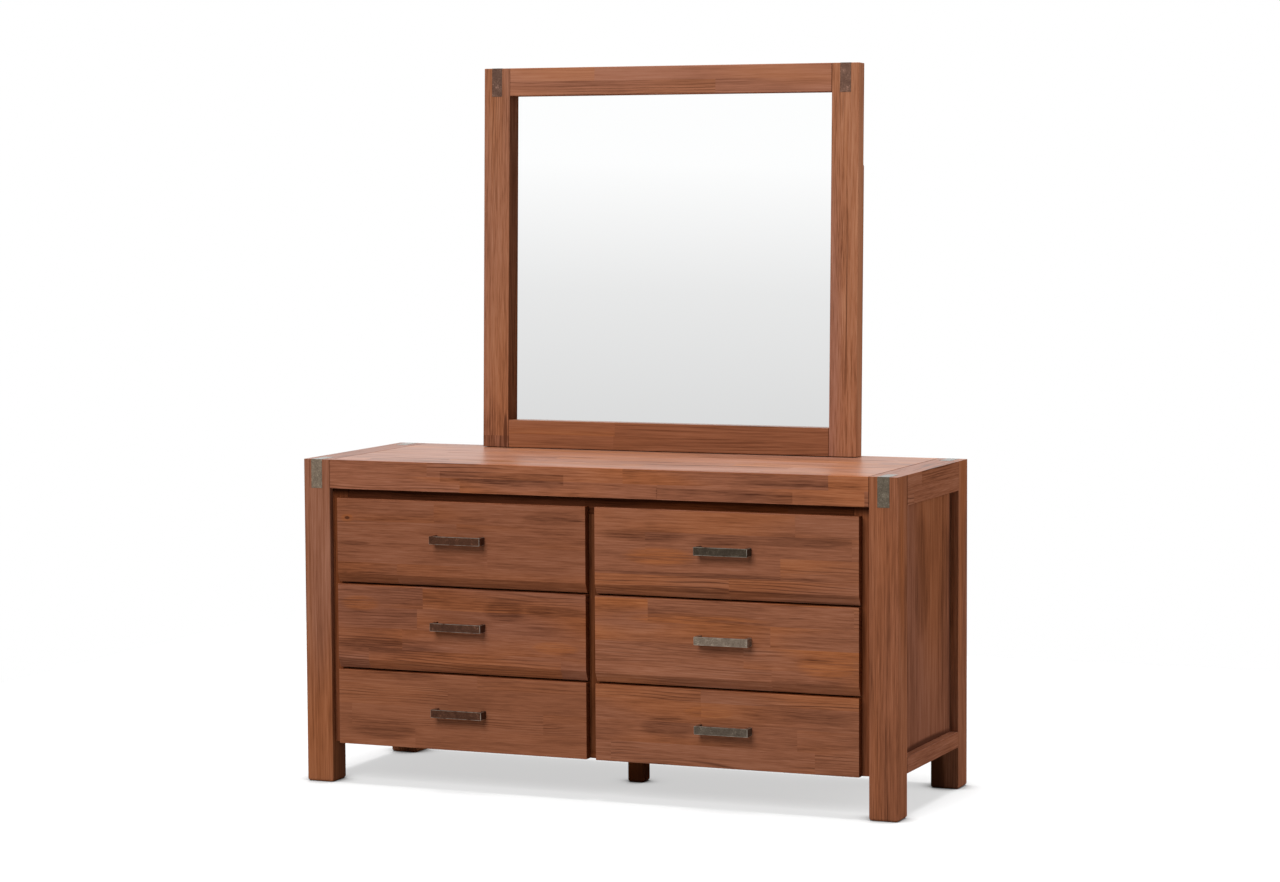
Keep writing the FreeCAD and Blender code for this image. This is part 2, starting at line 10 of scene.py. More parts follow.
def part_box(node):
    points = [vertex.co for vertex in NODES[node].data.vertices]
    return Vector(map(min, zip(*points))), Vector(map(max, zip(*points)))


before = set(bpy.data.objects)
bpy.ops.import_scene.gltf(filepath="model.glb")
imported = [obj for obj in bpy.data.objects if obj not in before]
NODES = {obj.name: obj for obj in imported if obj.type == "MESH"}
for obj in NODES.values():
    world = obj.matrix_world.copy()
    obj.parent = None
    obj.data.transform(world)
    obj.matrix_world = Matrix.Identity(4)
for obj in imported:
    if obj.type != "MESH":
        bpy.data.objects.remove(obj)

bl_info = {
    "name": "Dresser with mirror",
    "version": (1, 0, 0),
    "blender": (4, 5, 0),
    "location": "3D View > Sidebar > Dresser",
    "description": "Finishes a dresser with a standing mirror in stained wood and pewter, in a white studio",
    "category": "Object",
}

COLUMNS = ("left", "right")
LEVELS = ("top", "middle", "bottom")
DRAWERS = [f"drawer_{column}_{level}" for column in COLUMNS for level in LEVELS]
MM = 0.001
WHITE = (1.0, 1.0, 1.0)


# Settings

def colour(name, description, default):
    return FloatVectorProperty(
        name=name, description=description, default=default, size=3, subtype="COLOR", min=0.0, soft_max=1.0
    )


def share(name, description, default, top=1.0):
    return FloatProperty(
        name=name, description=description, default=default, min=0.0, max=top, subtype="FACTOR"
    )


def length(name, description, default):
    return FloatProperty(name=name, description=description, default=default, min=0.0, unit="LENGTH")


def power(name, description, watts):
    return FloatProperty(name=name, description=description, default=watts, min=0.0, unit="POWER")


def angle(name, description, degrees):
    return FloatProperty(name=name, description=description, default=math.radians(degrees), subtype="ANGLE")


class DRESSER_PG_case_wood(bpy.types.PropertyGroup):
    """Stained boards of the case, the top and the drawer fronts"""

    dark: colour("Dark grain", "Stain gathered in the open grain", (0.065, 0.021, 0.011))
    plain: colour("Plain wood", "Most of the surface", (0.235, 0.084, 0.0425))
    pale: colour("Pale wood", "Palest fibres", (0.330, 0.139, 0.081))
    warm: colour("Warm wood", "What orange heartwood does to the stain", (1.25, 1.06, 0.66))
    stave_width: length("Stave width", "Width of the glued staves", 0.047)
    stave_length: length("Stave length", "Usual length of the glued staves", 0.52)
    roughness: share("Roughness", "Roughness of the satin lacquer", 0.46)
    gloss: share("Gloss", "Strength of the reflections", 0.0)
    polish: share("Polish", "Polish rubbed into faces that look up", 0.9)
    polish_roughness: share("Polish roughness", "Roughness of the polish", 0.34)


class DRESSER_PG_mirror_wood(bpy.types.PropertyGroup):
    """Stained boards of the mirror frame and its supports"""

    dark: colour("Dark grain", "Stain gathered in the open grain", (0.090, 0.030, 0.015))
    plain: colour("Plain wood", "Most of the surface", (0.290, 0.116, 0.064))
    pale: colour("Pale wood", "Palest fibres", (0.380, 0.176, 0.108))
    warm: colour("Warm wood", "What orange heartwood does to the stain", (1.16, 1.05, 0.72))
    stave_width: length("Stave width", "Width of the glued staves", 0.036)
    stave_length: length("Stave length", "Usual length of the glued staves", 0.75)
    roughness: share("Roughness", "Roughness of the satin lacquer", 0.48)
    gloss: share("Gloss", "Strength of the reflections", 0.0)
    polish: share("Polish", "Polish rubbed into faces that look up", 0.9)
    polish_roughness: share("Polish roughness", "Roughness of the polish", 0.30)


class DRESSER_PG_inner_wood(bpy.types.PropertyGroup):
    """Plain boards of the drawer boxes and of the case's inside"""

    dark: colour("Dark grain", "Summer wood", (0.260, 0.140, 0.065))
    plain: colour("Plain wood", "Most of the surface", (0.500, 0.330, 0.185))
    pale: colour("Pale wood", "Palest fibres", (0.610, 0.440, 0.270))
    warm: colour("Warm wood", "What yellow heartwood does to the wood", (1.06, 1.00, 0.80))
    stave_width: length("Stave width", "Width of the glued staves", 0.090)
    stave_length: length("Stave length", "Usual length of the glued staves", 1.20)
    roughness: share("Roughness", "Roughness of the sanded wood", 0.62)
    gloss: share("Gloss", "Strength of the reflections", 0.0)
    polish: share("Polish", "Polish rubbed into faces that look up", 0.0)
    polish_roughness: share("Polish roughness", "Roughness of the polish", 0.30)


class DRESSER_PG_pewter(bpy.types.PropertyGroup):
    """Pulls and straps"""

    shadow: colour("Shadow", "Dark patina", (0.035, 0.027, 0.022))
    body: colour("Body", "Patina over most of the metal", (0.120, 0.105, 0.085))
    # Worn metal, also the colour of the painted highlight along the pulls' edges
    worn_and_highlight: colour("Worn", "Metal rubbed bright along the edges", (0.520, 0.480, 0.410))
    roughness: share("Roughness", "Roughness of the patina", 0.50)
    metallic: share("Metal", "How metallic the patina is", 0.75)
    gloss: share("Gloss", "Strength of the patina's own reflections", 0.15)
    edge: length("Worn edge", "Width of the bright edges of the pulls", 0.0013)
    polish: share("Polish", "Polish rubbed into faces that look up", 0.9)
    polish_roughness: share("Polish roughness", "Roughness of the polish", 0.25)


class DRESSER_PG_studio(bpy.types.PropertyGroup):
    """Floor, lamps and camera"""

    camera: FloatVectorProperty(
        name="Camera", description="Place of the camera", default=(3.3210, -7.8204, 1.5303),
        subtype="TRANSLATION", unit="LENGTH",
    )
    yaw: angle("Yaw", "Camera turned left of straight on", 22.905)
    pitch: angle("Pitch", "Camera tilted up", -4.579)
    roll: angle("Roll", "Camera rolled anticlockwise", -0.322)
    lens: FloatProperty(
        name="Lens", description="Focal length on a 36 mm sensor", default=97.37, min=1.0, unit="CAMERA"
    )
    overhead: FloatProperty(name="Overhead", description="Soft sun straight above", default=3.5, min=0.0)
    overhead_angle: angle("Overhead size", "How large the soft sun looks", 24.0)
    key: power("Key lamp", "Softbox at the front", 330.0)
    side: power("Side lamp", "Softbox at the right", 107.0)
    ambient: share("Ambient", "Light from all round", 0.28, top=2.0)
    floor: share("Floor", "Grey of the paper under the dresser", 0.33)
    floor_lift: share("Floor lift", "White added to the paper where it is looked at", 0.58)


# Shader maths

class Value:
    """A number or colour that varies over a surface. Arithmetic on it adds Math nodes."""

    def __init__(self, shader, socket):
        self.shader = shader
        self.socket = socket

    def math(self, operation, *others):
        return self.shader.math(operation, self, *others)

    def __add__(self, other):
        return self.math("ADD", other)

    __radd__ = __add__

    def __mul__(self, other):
        return self.math("MULTIPLY", other)

    __rmul__ = __mul__

    def __sub__(self, other):
        return self.math("SUBTRACT", other)

    def __rsub__(self, other):
        return self.shader.math("SUBTRACT", other, self)

    def __truediv__(self, other):
        return self.math("DIVIDE", other)

    def __abs__(self):
        return self.math("ABSOLUTE")

    def floor(self):
        return self.math("FLOOR")

    def rise(self, low, high):
        """0 below low, 1 above high, smooth between."""
        settings = {"interpolation_type": "SMOOTHSTEP"}
        inputs = {"Value": self, "From Min": low, "From Max": high}
        return self.shader.node("ShaderNodeMapRange", settings, inputs)


class Shader:
    """Adds nodes to a material or a world, whose surface is the shader that comes with it."""

    def __init__(self, block, surface="Principled BSDF"):
        block.use_nodes = True
        self.block = block
        self.tree = block.node_tree
        self.surface = self.tree.nodes[surface]

    def feed(self, socket, value):
        """Link a value to a socket, or set the socket to a number or a colour."""
        if isinstance(value, Value):
            self.tree.links.new(value.socket, socket)
        elif socket.type == "RGBA" and len(value) == 3:
            socket.default_value = (*value, 1.0)
        else:
            socket.default_value = value

    def node(self, kind, settings=None, inputs=(), stops=(), output=0):
        """Add a node. Its settings come first, then a ramp's stops, then values or links for its sockets."""
        made = self.tree.nodes.new(kind)
        for key, value in (settings or {}).items():
            setattr(made, key, value)
        for index, (place, shade) in enumerate(stops):
            elements = made.color_ramp.elements
            element = elements[index] if index < 2 else elements.new(place)
            element.position = place
            element.color = (*shade, 1.0)
        pairs = inputs.items() if isinstance(inputs, dict) else enumerate(inputs)
        for key, value in pairs:
            self.feed(made.inputs[key], value)
        return Value(self, made.outputs[output])

    def beside(self, value, name):
        """Another output of the node that made a value."""
        return Value(self, value.socket.node.outputs[name])

    def math(self, operation, *values):
        return self.node("ShaderNodeMath", {"operation": operation}, values)

    def vector(self, operation, *values):
        return self.node("ShaderNodeVectorMath", {"operation": operation}, values)

    def mix(self, factor, first, second, blend="MIX"):
        settings = {"data_type": "RGBA", "blend_type": blend}
        return self.node("ShaderNodeMix", settings, {0: factor, 6: first, 7: second}, output=2)

    def tint(self, factor, base, shade):
        """Multiply a colour by a shade, as far as the factor says."""
        return self.mix(factor, base, shade, blend="MULTIPLY")

    def ramp(self, value, stops):
        """Colours for a number, from places and colours in rising order."""
        return self.node("ShaderNodeValToRGB", inputs=[value], stops=stops)

    def noise(self, place, scale, detail=2.0, roughness=0.5):
        """Smooth noise about 0.5, stretched by a scale along each direction of place."""
        stretched = self.vector("MULTIPLY", place, scale)
        inputs = {"Vector": stretched, "Scale": 1.0, "Detail": detail, "Roughness": roughness}
        return self.node("ShaderNodeTexNoise", {"noise_dimensions": "3D"}, inputs)

    def chance(self, place, dimensions="3D"):
        """Three random numbers for each point of a grid, as a colour."""
        settings = {"noise_dimensions": dimensions}
        return self.node("ShaderNodeTexWhiteNoise", settings, [place], output="Color")

    def place(self, origin=(0.0, 0.0, 0.0)):
        """Position on the object, counted from origin."""
        at = self.node("ShaderNodeTexCoord", output="Object")
        return self.vector("SUBTRACT", at, tuple(origin))

    def looking(self, axis, low, high):
        """1 where more than high of the surface's normal lies along an axis, 0 where less than low does."""
        return self.split(self.node("ShaderNodeTexCoord", output="Normal"))[axis].rise(low, high)

    def split(self, vector):
        made = self.node("ShaderNodeSeparateXYZ", inputs=[vector])
        return {name: self.beside(made, name) for name in "XYZ"}

    def join(self, x, y, z):
        return self.node("ShaderNodeCombineXYZ", inputs=[x, y, z])

    def most(self, values):
        """The largest of some values, 0 if there are none."""
        largest = 0.0
        for value in values:
            largest = self.math("MAXIMUM", value, largest)
        return largest

    def bump(self, height, strength, distance):
        inputs = {"Strength": strength, "Distance": distance, "Height": height}
        return self.node("ShaderNodeBump", inputs=inputs)

    def finish(self, **inputs):
        """Feed the surface's sockets; an underscore in a name stands for a space."""
        for name, value in inputs.items():
            self.feed(self.surface.inputs[name.replace("_", " ")], value)
        return self.block


def new_material(name):
    return Shader(bpy.data.materials.new(name))


def finish_node(name, material):
    """Give a node of the frame its material."""
    mesh = NODES[name].data
    mesh.materials.clear()
    mesh.materials.append(material)


def shaded(tone, shade):
    """A tone multiplied by a number or by one number for each channel."""
    parts = shade if isinstance(shade, tuple) else (shade,) * 3
    return tuple(channel * part for channel, part in zip(tone, parts))


# Which way a face looks: an axis and the parts of its normal between which it starts to count
UPWARD = ("Z", 0.80, 0.95)
RIGHTWARD = ("X", 0.50, 0.80)
NOT_FORWARD = ("Y", -0.80, -0.50)
NOT_SLOPING_DOWN = ("Z", -0.40, -0.20)


# Wood

# Axes along the grain, across the board's broad face and into the board
GRAIN_ALONG_X = "XZY"
GRAIN_ALONG_X_FLAT = "XYZ"
GRAIN_ALONG_Y = "YZX"
GRAIN_UP = "ZXY"
GRAIN_UP_SIDE = "ZYX"

JOINT = 2.5 * MM                    # dark line where a board butts against another
TOP_JOINT = 6.0 * MM                # the same where the top panel meets the end beams
PAINTED_BEVEL_SHADE = (0.86, 0.84, 0.82)    # painted shade of the sloped foot of a drawer front, which faces down
PAINTED_GAP_SHADE = (0.62, 0.44, 0.32)   # painted shade of the ends and edges of a drawer front, which lie in the gaps
PAINTED_REVEAL_SHADE = (0.62, 0.58, 0.55)   # painted shade of the side that the mirror's left stile turns to the glass, which the lamps miss

WHOLE = 3.0                         # longer and wider than any board, metres
ONE_STAVE = {"stave": WHOLE, "run": WHOLE}
STAVE_LAG = 3.0                     # how far the ends in two rows of staves are out of step, in staves
STAVE_SHIFT = (9.0, 3.0, 3.0)       # how far the grain jumps from one stave to the next, metres

# Noises of the grain: waves in a metre along it and across it, levels of detail and their strength
NOISES = {
    "hue": (3.0, 9.0, 1.0, 0.5),
    "gather": (5.0, 24.0, 1.0, 0.5),
    "blotch": (6.0, 20.0, 3.0, 0.6),
    "bands": (9.0, 220.0, 3.0, 0.65),
    "dashes": (30.0, 360.0, 2.0, 0.7),
    "fibres": (30.0, 560.0, 2.0, 0.65),
}
# Values of a noise between which something sets in
GATHERED = (0.42, 0.66)             # open pores and dark lines, by "gather"
OPEN = (0.58, 0.73)                 # single pores, by "dashes"
DRAWN = (0.30, 0.55)                # stretches of a dark line, by "bands"
HEARTWOOD = (0.46, 0.72)            # orange wood, by "hue"
STREAKED = (0.25, 0.60)             # streaks of a warm patch by "bands", of a dark one by "blotch"
POLISHED = (0.05, 0.50)             # polish that fills the grain, by "bands"

LINE_WAVES = (2.2, 13.0, 13.0)      # waves in a metre of the dark lines' wandering
LINE_COUNT = 130.0                  # dark lines in a metre
LINE_WANDER = 8.0                   # how many lines they wander to the side
LINE_SHAPE = (0.26, 0.50)           # where a line sets in and is darkest, in spacings from midway to the next
KNOT_CELLS = (2.0, 8.0, 8.0)        # cells in a metre, each with room for one knot
KNOT_CHANCE = (0.84, 0.86)          # chance number from which a cell has its knot
KNOT_RADII = (0.015, 0.07)          # of a knot's dark heart and of its rim, in cells
SPOT_FADE = (0.3, 1.2)              # squared radii where an oval spot starts to fade and ends

TONE_STOPS = (0.05, 0.50, 0.95)     # lightness of the dark, the plain and the pale wood
TONE_WEIGHTS = {"blotch": 0.60, "bands": 0.80, "fibres": 0.80}
STAVE_DARKER = 0.16                 # what a single dark stave takes from the lightness
PATCH_DARKER = 0.22                 # the same for a dark patch
STAVE_HUE = 0.15                    # how much the staves differ in heartwood
PATCH_WARMTH = 0.75                 # of a warm patch
PORES_EVERYWHERE = 0.15             # how open the pores are, at least
PORES_GATHERED = 0.55               # what is added where they gather
PORES_IN_PATCH = 0.85               # the same in a dark patch
PORE_STAIN = 0.36                   # how dark the stain is in the pores
MARK_STAIN = 0.85                   # the same in dark lines, knots, joints and spots of painted shade

RELIEF = 0.4 * MM                   # depth of the grain
RELIEF_STRENGTH = 0.30
RELIEF_WEIGHTS = {"fibres": 0.4, "bands": 0.3, "pores": -0.5, "marks": -0.5}
FIBRE_SHEEN = -0.16                 # what pale fibres add to the roughness
PORE_DULLNESS = 0.15                # the same for pores

# What stands out on single boards, and spots of painted shade: start and end along the grain, bottom and top
# across it, mm
SPOTS = {
    # The face stiles' knot_and_shade spots are painted shade under the fascia
    "face_stile_left": [("knot_and_shade", (608, 700, -60, 120))],
    "face_stile_right": [("knot_and_shade", (608, 700, -60, 120))],
    # Painted shadow on the foot of the rear leg's front face
    "leg_rear_right": [("knot_and_shade", (-150, 190, -25, 38))],
    "side_panel_right": [
        # Painted shade near the rear leg and along the bottom above the side rail
        ("knot_and_shade", (-200, 1000, 388, 426)), ("knot_and_shade", (-10, 24, -50, 460)),
        ("dark", (250, 580, 115, 245)), ("dark", (20, 560, 300, 420)),
    ],
    "front_fascia": [
        ("stave", (303, 634, 25, 53)), ("stave", (874, 1220, 2, 29)), ("dark", (1080, 1420, 40, 56)),
    ],
    "mirror_stile_left": [("knot_and_shade", (-15, 95, 57, 69)), ("dark", (-200, 130, -30, 100))],
    "mirror_stile_right": [
        ("figure", (810, 920, 8, 34)), ("warm", (640, 905, 30, 46)), ("knot_and_shade", (150, 610, 42, 45)),
    ],
    "drawer_left_top_front": [
        ("warm", (8, 48, 148, 172)), ("knot_and_shade", (20, 36, 156, 165)), ("dark", (-10, 95, 92, 106)),
        ("dark", (325, 415, 162, 174)), ("dark", (495, 680, 160, 194)), ("dark", (-5, 28, 18, 36)),
    ],
    "drawer_left_middle_front": [
        ("warm", (5, 120, 143, 183)), ("warm", (515, 662, 56, 94)),
        ("figure", (390, 516, 132, 192)), ("figure", (-40, 200, 40, 92)), ("figure", (120, 340, 8, 60)),
        ("dark", (395, 511, 130, 190)), ("dark", (500, 680, 148, 178)), ("dark", (-30, 290, 38, 84)),
    ],
    "drawer_left_bottom_front": [("dark", (-10, 310, 164, 190)), ("dark", (15, 230, 16, 66))],
    "drawer_right_top_front": [
        ("dark", (0, 250, 128, 164)), ("dark", (262, 375, 126, 148)), ("dark", (400, 685, 128, 166)),
        ("warm", (70, 265, 72, 120)), ("figure", (-60, 730, 10, 66)), ("dark", (-60, 730, 50, 61)),
        ("dark", (-60, 730, 10, 28)),
    ],
    "drawer_right_middle_front": [
        ("warm", (80, 460, 142, 178)), ("warm", (505, 685, 34, 104)), ("dark", (495, 615, 72, 86)),
    ],
    "drawer_right_bottom_front": [
        ("warm", (210, 373, 113, 151)), ("dark", (115, 260, 60, 122)), ("dark", (355, 690, 112, 160)),
    ],
}


def oval(along, across, place):
    """1 in the middle of an oval on the face, 0 at its rim. Its place is start, end, bottom and top in mm."""
    start, end, bottom, top = (edge * MM for edge in place)
    u = (along - (start + end) / 2) / ((end - start) / 2)
    v = (across - (bottom + top) / 2) / ((top - bottom) / 2)
    return 1.0 - (u * u + v * v).rise(*SPOT_FADE)


def inlay(along, across, place):
    """1 on a stave with straight ends, 0 round it. Its place is given as an oval's is."""
    start, end, bottom, top = (edge * MM for edge in place)
    ends = (along - start).rise(0.0, MM) * (end - along).rise(0.0, MM)
    return ends * (across - bottom).rise(0.0, MM) * (top - across).rise(0.0, MM)


SPOT_SHAPES = {"dark": oval, "warm": oval, "figure": oval, "knot_and_shade": oval, "stave": inlay}


@dataclass
class Look:
    """How one board differs from the rest of its wood. Lengths are in metres."""

    shade: object = 1.0             # multiplies the stain's tones, a number or one for each channel; on the face frame it is painted shade, on the top painted sheen
    contrast: float = 0.95          # strength of the grain
    heart: float = 0.6              # how orange its heartwood is
    figured: float = 0.5            # how much of it has strong dark lines
    patchwork: float = 0.14         # how much its staves differ in lightness
    reach: float = 1.6              # how far its grain is drawn out
    coarse: float = 1.0             # how much wider than usual its grain is
    stave: float = 0.0              # width of its staves, 0 for the wood's own
    run: float = 0.0                # length of its staves, 0 for the wood's own
    joint: float = 0.0              # width of the dark line at its ends
    painted_shade_rim: tuple = ()                 # painted shade of the faces that don't look to the front, where the gaps are in shade
    reveal: tuple = ()              # painted shade of the face that looks to the right


class Board:
    """A board of the frame, of glued staves of open-grained wood."""

    def __init__(self, name, wood, axes, seed, look):
        low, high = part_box(name)
        shader = new_material(name + "_wood")
        at = shader.split(shader.place(low))
        self.shader = shader
        self.wood = wood
        self.look = look
        self.dark = shaded(wood.dark, look.shade)
        self.span = (high - low)["XYZ".index(axes[0])]
        self.along, self.across, into = (at[axis] for axis in axes)
        stave = self.find_stave(seed)
        self.chance = shader.split(stave)
        drawn_out = shader.join(self.along / look.reach, self.across / look.coarse, into)
        self.place = shader.vector("ADD", drawn_out, shader.vector("MULTIPLY", stave, STAVE_SHIFT))
        self.patches = self.find_patches(SPOTS.get(name, ()))
        self.layers = {}
        for layer, (along, across, detail, roughness) in NOISES.items():
            self.layers[layer] = shader.noise(self.place, (along, across, across), detail, roughness)
        self.layers["pores"] = self.find_pores()
        self.layers["marks"] = self.find_marks()

    def find_stave(self, seed):
        """Three random numbers that differ from stave to stave, as a colour."""
        shader = self.shader
        row = (self.across / (self.look.stave or self.wood.stave_width)).floor()
        lag = shader.beside(shader.chance(shader.join(row, seed, 0.0), "2D"), "Value")
        column = (self.along / (self.look.run or self.wood.stave_length) + lag * STAVE_LAG).floor()
        return shader.chance(shader.join(row, column, seed))

    def find_patches(self, spots):
        """Where the board has each kind of spot."""
        masks = {kind: [] for kind in SPOT_SHAPES}
        for kind, place in spots:
            masks[kind].append(SPOT_SHAPES[kind](self.along, self.across, place))
        return {kind: self.shader.most(found) for kind, found in masks.items()}

    def find_pores(self):
        """Open pores: short dark dashes along the grain."""
        gathered = self.layers["gather"].rise(*GATHERED) * PORES_GATHERED
        more = self.shader.most([gathered, self.patches["dark"] * PORES_IN_PATCH])
        return self.layers["dashes"].rise(*OPEN) * (PORES_EVERYWHERE + more)

    def find_marks(self):
        """Dark lines of late wood, on some of the staves and in figured spots, the knots, and the
        knot_and_shade spots, which on some boards are painted shade.
        """
        figured = self.look.figured
        # The more figured the board, the smaller the chance number from which a stave has the lines
        strong = self.chance["Y"].rise(1.0 - figured, 1.02 - 0.6 * figured)
        where = self.shader.most([strong * self.layers["gather"].rise(*GATHERED), self.patches["figure"]])
        lines = self.find_lines() * self.layers["bands"].rise(*DRAWN) * where
        return self.shader.most([lines, self.find_knots(), self.patches["knot_and_shade"]])

    def find_lines(self):
        """Dark wavy lines, all over the board."""
        wander = self.shader.noise(self.place, LINE_WAVES)
        wave = self.shader.math("FRACT", self.across * LINE_COUNT + wander * LINE_WANDER)
        return abs(wave - 0.5).rise(*LINE_SHAPE)

    def find_knots(self):
        """Small dark knots drawn out along the grain, few and far between."""
        shader = self.shader
        cells = shader.vector("MULTIPLY", self.place, KNOT_CELLS)
        settings = {"voronoi_dimensions": "3D", "feature": "F1"}
        near = shader.node("ShaderNodeTexVoronoi", settings, {"Vector": cells, "Scale": 1.0})
        present = shader.split(shader.beside(near, "Color"))["X"].rise(*KNOT_CHANCE)
        return (1.0 - near.rise(*KNOT_RADII)) * present

    def lightness(self):
        """0 on the darkest wood, 0.5 on plain wood, 1 on the palest."""
        grain = sum((self.layers[layer] - 0.5) * weight for layer, weight in TONE_WEIGHTS.items())
        patch = self.patches["dark"] * self.layers["blotch"].rise(*STREAKED) * PATCH_DARKER
        darker = self.patches["stave"] * STAVE_DARKER + patch
        return 0.5 + grain * self.look.contrast + (self.chance["X"] - 0.5) * self.look.patchwork - darker

    def warmth(self):
        """How orange the wood is."""
        hue = self.layers["hue"] + (self.chance["Z"] - 0.5) * STAVE_HUE
        patch = self.patches["warm"] * self.layers["bands"].rise(*STREAKED) * PATCH_WARMTH
        return self.shader.most([hue.rise(*HEARTWOOD) * self.look.heart, patch])

    def stain(self):
        """Colour of the stained wood."""
        shader = self.shader
        pale = [shaded(tone, self.look.shade) for tone in (self.wood.plain, self.wood.pale)]
        base = shader.ramp(self.lightness(), list(zip(TONE_STOPS, (self.dark, *pale))))
        base = shader.tint(self.warmth(), base, self.wood.warm)
        base = shader.mix(self.layers["pores"] * PORE_STAIN, base, self.dark)
        return shader.mix(self.layers["marks"] * MARK_STAIN, base, self.dark)

    def shade_faces(self, base):
        """Painted shade: darken the faces that the look has a painted shade rim or a painted right shade for.
        """
        shader = self.shader
        if self.look.painted_shade_rim:
            forward = 1.0 - shader.looking(*NOT_FORWARD)
            sloped = forward * (1.0 - shader.looking(*NOT_SLOPING_DOWN))
            base = shader.tint(1.0 - forward, base, self.look.painted_shade_rim)
            # Painted shade on the sloped foot, which faces down
            base = shader.tint(sloped, base, PAINTED_BEVEL_SHADE)
        if self.look.reveal:
            base = shader.tint(shader.looking(*RIGHTWARD), base, self.look.reveal)
        return base

    def material(self):
        shader = self.shader
        base = self.stain()
        polish = shader.looking(*UPWARD) * self.wood.polish * self.layers["bands"].rise(*POLISHED)
        joint = self.look.joint
        if joint:
            inside = self.along.rise(0.0, joint) * (self.span - self.along).rise(0.0, joint)
            base = shader.mix((1.0 - inside) * MARK_STAIN, base, self.dark)
            polish = polish * inside
        height = sum(self.layers[layer] * weight for layer, weight in RELIEF_WEIGHTS.items())
        sheen = (self.layers["fibres"] - 0.5) * FIBRE_SHEEN
        return shader.finish(
            Base_Color=self.shade_faces(base),
            Specular_IOR_Level=self.wood.gloss,
            Roughness=self.wood.roughness + sheen + self.layers["pores"] * PORE_DULLNESS,
            Coat_Weight=polish,
            Coat_Roughness=self.wood.polish_roughness,
            Normal=shader.bump(height, RELIEF_STRENGTH, RELIEF),
        )


def finish_boards(names, wood, axes, seed, **look):
    """Give some boards one look, each with its own grain."""
    for own_seed, name in enumerate(names, start=seed):
        finish_node(name, Board(name, wood, axes, own_seed, Look(**look)).material())


def finish_each(looks, wood, axes, seed, **common):
    """Give each board its own look, on top of what all of them have in common."""
    for own_seed, (name, look) in enumerate(looks.items(), start=seed):
        finish_boards([name], wood, axes, own_seed, **common, **look)


# Other materials

FIBREBOARD_TONES = ((0.30, (0.105, 0.052, 0.028)), (0.70, (0.205, 0.112, 0.066)))
ZINC_TONES = ((0.2, (0.42, 0.43, 0.44)), (0.8, (0.66, 0.67, 0.69)))
PAD_TONES = ((0.2, (0.12, 0.11, 0.10)), (0.8, (0.26, 0.25, 0.24)))
SILVER = (0.985, 0.99, 0.99)
PATINA_STOPS = (0.15, 0.60, 1.0)    # where the shadow, the body and the worn metal lie
CLOUD_WAVES = (60.0,) * 3           # waves in a metre of the patina's clouds
SPECK_WAVES = (420.0,) * 3          # the same for its specks
SPECK_CONTRAST = 0.8                # how much the specks change the patina's tone
SPECK_SHEEN = 0.25                  # the same for its roughness
RUBBED_AND_HIGHLIT = (0.25, 0.6)                # clouds between which an edge is rubbed bright and given a painted highlight


def fibreboard_material(name):
    """Thin brown board of pressed fibres."""
    shader = new_material(name)
    fibres = shader.noise(shader.place(), scale=(260.0,) * 3, detail=3.0, roughness=0.7)
    return shader.finish(
        Base_Color=shader.ramp(fibres, FIBREBOARD_TONES),
        Roughness=0.8,
        Normal=shader.bump(fibres, strength=0.2, distance=0.3 * MM),
    )


def zinc_material():
    """Bright zinc, drawn along the runners."""
    shader = new_material("zinc")
    streaks = shader.noise(shader.place(), scale=(60.0, 4.0, 500.0))
    return shader.finish(
        Base_Color=shader.ramp(streaks, ZINC_TONES),
        Metallic=0.9,
        Roughness=0.32 + streaks * 0.15,
    )


def pad_material():
    """Soft grey pile."""
    shader = new_material("pad")
    pile = shader.noise(shader.place(), scale=(900.0,) * 3)
    return shader.finish(Base_Color=shader.ramp(pile, PAD_TONES), Roughness=0.9)


def glass_material():
    """Silvered glass."""
    return new_material("silvered_glass").finish(Base_Color=SILVER, Metallic=1.0, Roughness=0.0)


def edge_mask(shader, place, box, width):
    """1 along the edges of a box, where two of its faces meet, 0 elsewhere."""
    low, high = box
    offset = shader.split(shader.vector("SUBTRACT", place, tuple((low + high) / 2)))
    near = []
    for axis, half in zip("XYZ", (high - low) / 2):
        near.append((abs(offset[axis]) - half).rise(-width, -width / 2))
    return shader.most([shader.math("MINIMUM", near[i], near[j]) for i, j in ((0, 1), (1, 2), (0, 2))])


def patina(shader, tone, pewter, tint):
    """Colour of the patina, from its shadow to worn metal."""
    tones = [shaded(metal, tint) for metal in (pewter.shadow, pewter.body, pewter.worn_and_highlight)]
    return shader.ramp(tone, list(zip(PATINA_STOPS, tones)))


def pewter_material(name, pewter, left, right, mottle=0.5, wear_and_highlight=0.0, box=None):
    """
    Mottled patina, with one tint left of the middle and one right of it.

    With a box, the metal is rubbed bright along the box's edges, and these edges get a painted highlight.
    """
    shader = new_material(name + "_pewter")
    place = shader.place()
    cloud = shader.noise(place, CLOUD_WAVES, detail=3.0, roughness=0.6)
    speck = shader.noise(place, SPECK_WAVES, detail=2.0, roughness=0.6)
    tone = 0.5 + (cloud - 0.5) * mottle + (speck - 0.5) * SPECK_CONTRAST
    half = shader.split(place)["X"].rise(-MM, MM)
    base = shader.mix(half, patina(shader, tone, pewter, left), patina(shader, tone, pewter, right))
    if box:
        edges = edge_mask(shader, place, box, pewter.edge)
        # Worn metal and a painted highlight along the edges
        base = shader.mix(edges * wear_and_highlight * cloud.rise(*RUBBED_AND_HIGHLIT), base, pewter.worn_and_highlight)
    return shader.finish(
        Base_Color=base,
        Specular_IOR_Level=pewter.gloss,
        Metallic=pewter.metallic,
        Coat_Weight=shader.looking(*UPWARD) * pewter.polish,
        Coat_Roughness=pewter.polish_roughness,
        Roughness=pewter.roughness + (speck - 0.5) * SPECK_SHEEN,
        Normal=shader.bump(cloud * 0.7 + speck * 0.3, strength=0.25, distance=RELIEF),
    )


# Operators

class DresserOperator:
    """What the operators of this add-on share."""

    bl_options = {"REGISTER", "UNDO"}


